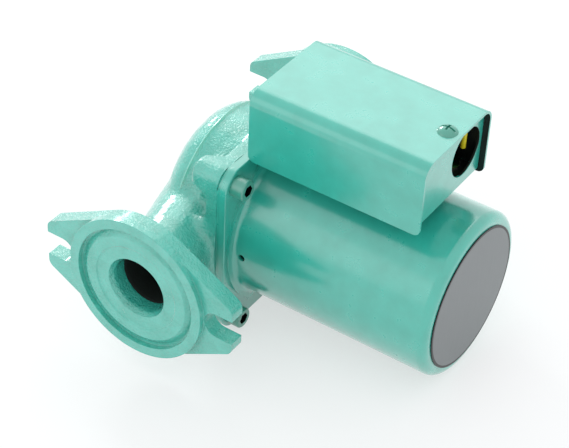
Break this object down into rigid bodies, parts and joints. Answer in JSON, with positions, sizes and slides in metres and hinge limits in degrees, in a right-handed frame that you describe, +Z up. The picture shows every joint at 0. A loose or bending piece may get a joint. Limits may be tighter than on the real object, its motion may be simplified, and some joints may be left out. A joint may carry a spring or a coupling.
{
  "type": "in-line centrifugal water circulator pump",
  "caption": "In-line centrifugal water pump: cast volute with open-slot port flanges, canned wet-rotor motor across the pipe line and a folded sheet terminal box on top.",
  "frame": {"origin": "centre of the suction flange's raised face", "axes": "+Y along the flow from the suction to the discharge flange, +X along the motor shaft towards the closed end of the motor, +Z up towards the terminal box"},
  "size_m": [0.1633, 0.162, 0.1224],
  "materials": {
    "green_cast_paint": "glossy enamel over sand-cast iron",
    "green_sheet_paint": "glossy enamel over drawn and folded steel",
    "green_fastener_paint": "enamel over steel screws",
    "stainless": "drawn stainless sheet",
    "carbon": "fine-ground carbon",
    "alumina": "ground white ceramic",
    "black_rubber": "moulded",
    "impeller_plastic": "glass-filled, moulded",
    "saddle_plastic": "moulded",
    "lamination_steel": "stacked, varnished edges",
    "die_cast_aluminium": "as cast",
    "winding_copper": "enamelled wire, varnished",
    "nameplate_foil": "satin, printed dark grey",
    "zinc_steel": "zinc plated",
    "dark_steel": "black oxide",
    "tinned_brass": "tinned",
    "capacitor_case": "moulded, glossy",
    "earth_green": "green dyed zinc",
    "yellow_insulation": "extruded",
    "green_insulation": "extruded",
    "white_insulation": "extruded",
    "black_insulation": "extruded",
    "brown_insulation": "extruded"
  },
  "bodies": {
    "pump_body": {"volute_casing": "green_cast_paint", "casing_gasket": "black_rubber", "cartridge_flange": "green_sheet_paint", "rotor_can": "stainless", "front_bearing_plate": "stainless", "front_bearing": "carbon", "rear_bearing": "carbon", "rear_bearing_holder": "black_rubber", "motor_flange": "green_sheet_paint", "motor_housing": "green_sheet_paint", "stator_core": "lamination_steel", "main_winding": "winding_copper", "start_winding": "winding_copper", "nameplate": "nameplate_foil", "housing_bolts": "green_fastener_paint", "box_saddle": "saddle_plastic", "lead_grommet": "black_rubber", "terminal_base": "green_sheet_paint", "knockout_disc": "green_sheet_paint", "box_screws": "zinc_steel", "ground_screw": "earth_green", "ground_terminal": "tinned_brass", "capacitor": "capacitor_case", "capacitor_tabs": "tinned_brass", "capacitor_strap": "zinc_steel", "yellow_lead": "yellow_insulation", "green_lead": "green_insulation", "white_lead": "white_insulation", "black_lead": "black_insulation", "capacitor_leads": "brown_insulation"},
    "rotor": {"impeller": "impeller_plastic", "impeller_shroud": "impeller_plastic", "rotor_shaft": "alumina", "rotor_core": "lamination_steel", "rotor_end_rings": "die_cast_aluminium", "thrust_washer": "carbon", "thrust_cushion": "black_rubber"},
    "terminal_cover": {"terminal_cover": "green_sheet_paint", "cover_side_screw": "dark_steel"},
    "cover_screw": {"cover_screw": "green_fastener_paint"}
  },
  "joints": [
    {"name": "rotor_spin", "type": "hinge", "parent": "pump_body", "child": "rotor", "pos_m": [0.03, 0.081, 0], "axis": [1, 0, 0], "continuous": true},
    {"name": "cover_lift", "type": "slide", "parent": "pump_body", "child": "terminal_cover", "axis": [0, 0, 1], "range_m": [0, 0.05]},
    {"name": "cover_screw_travel", "type": "slide", "parent": "terminal_cover", "child": "cover_screw", "axis": [0, 0, 1], "range_m": [0, 0.012]}
  ]
}
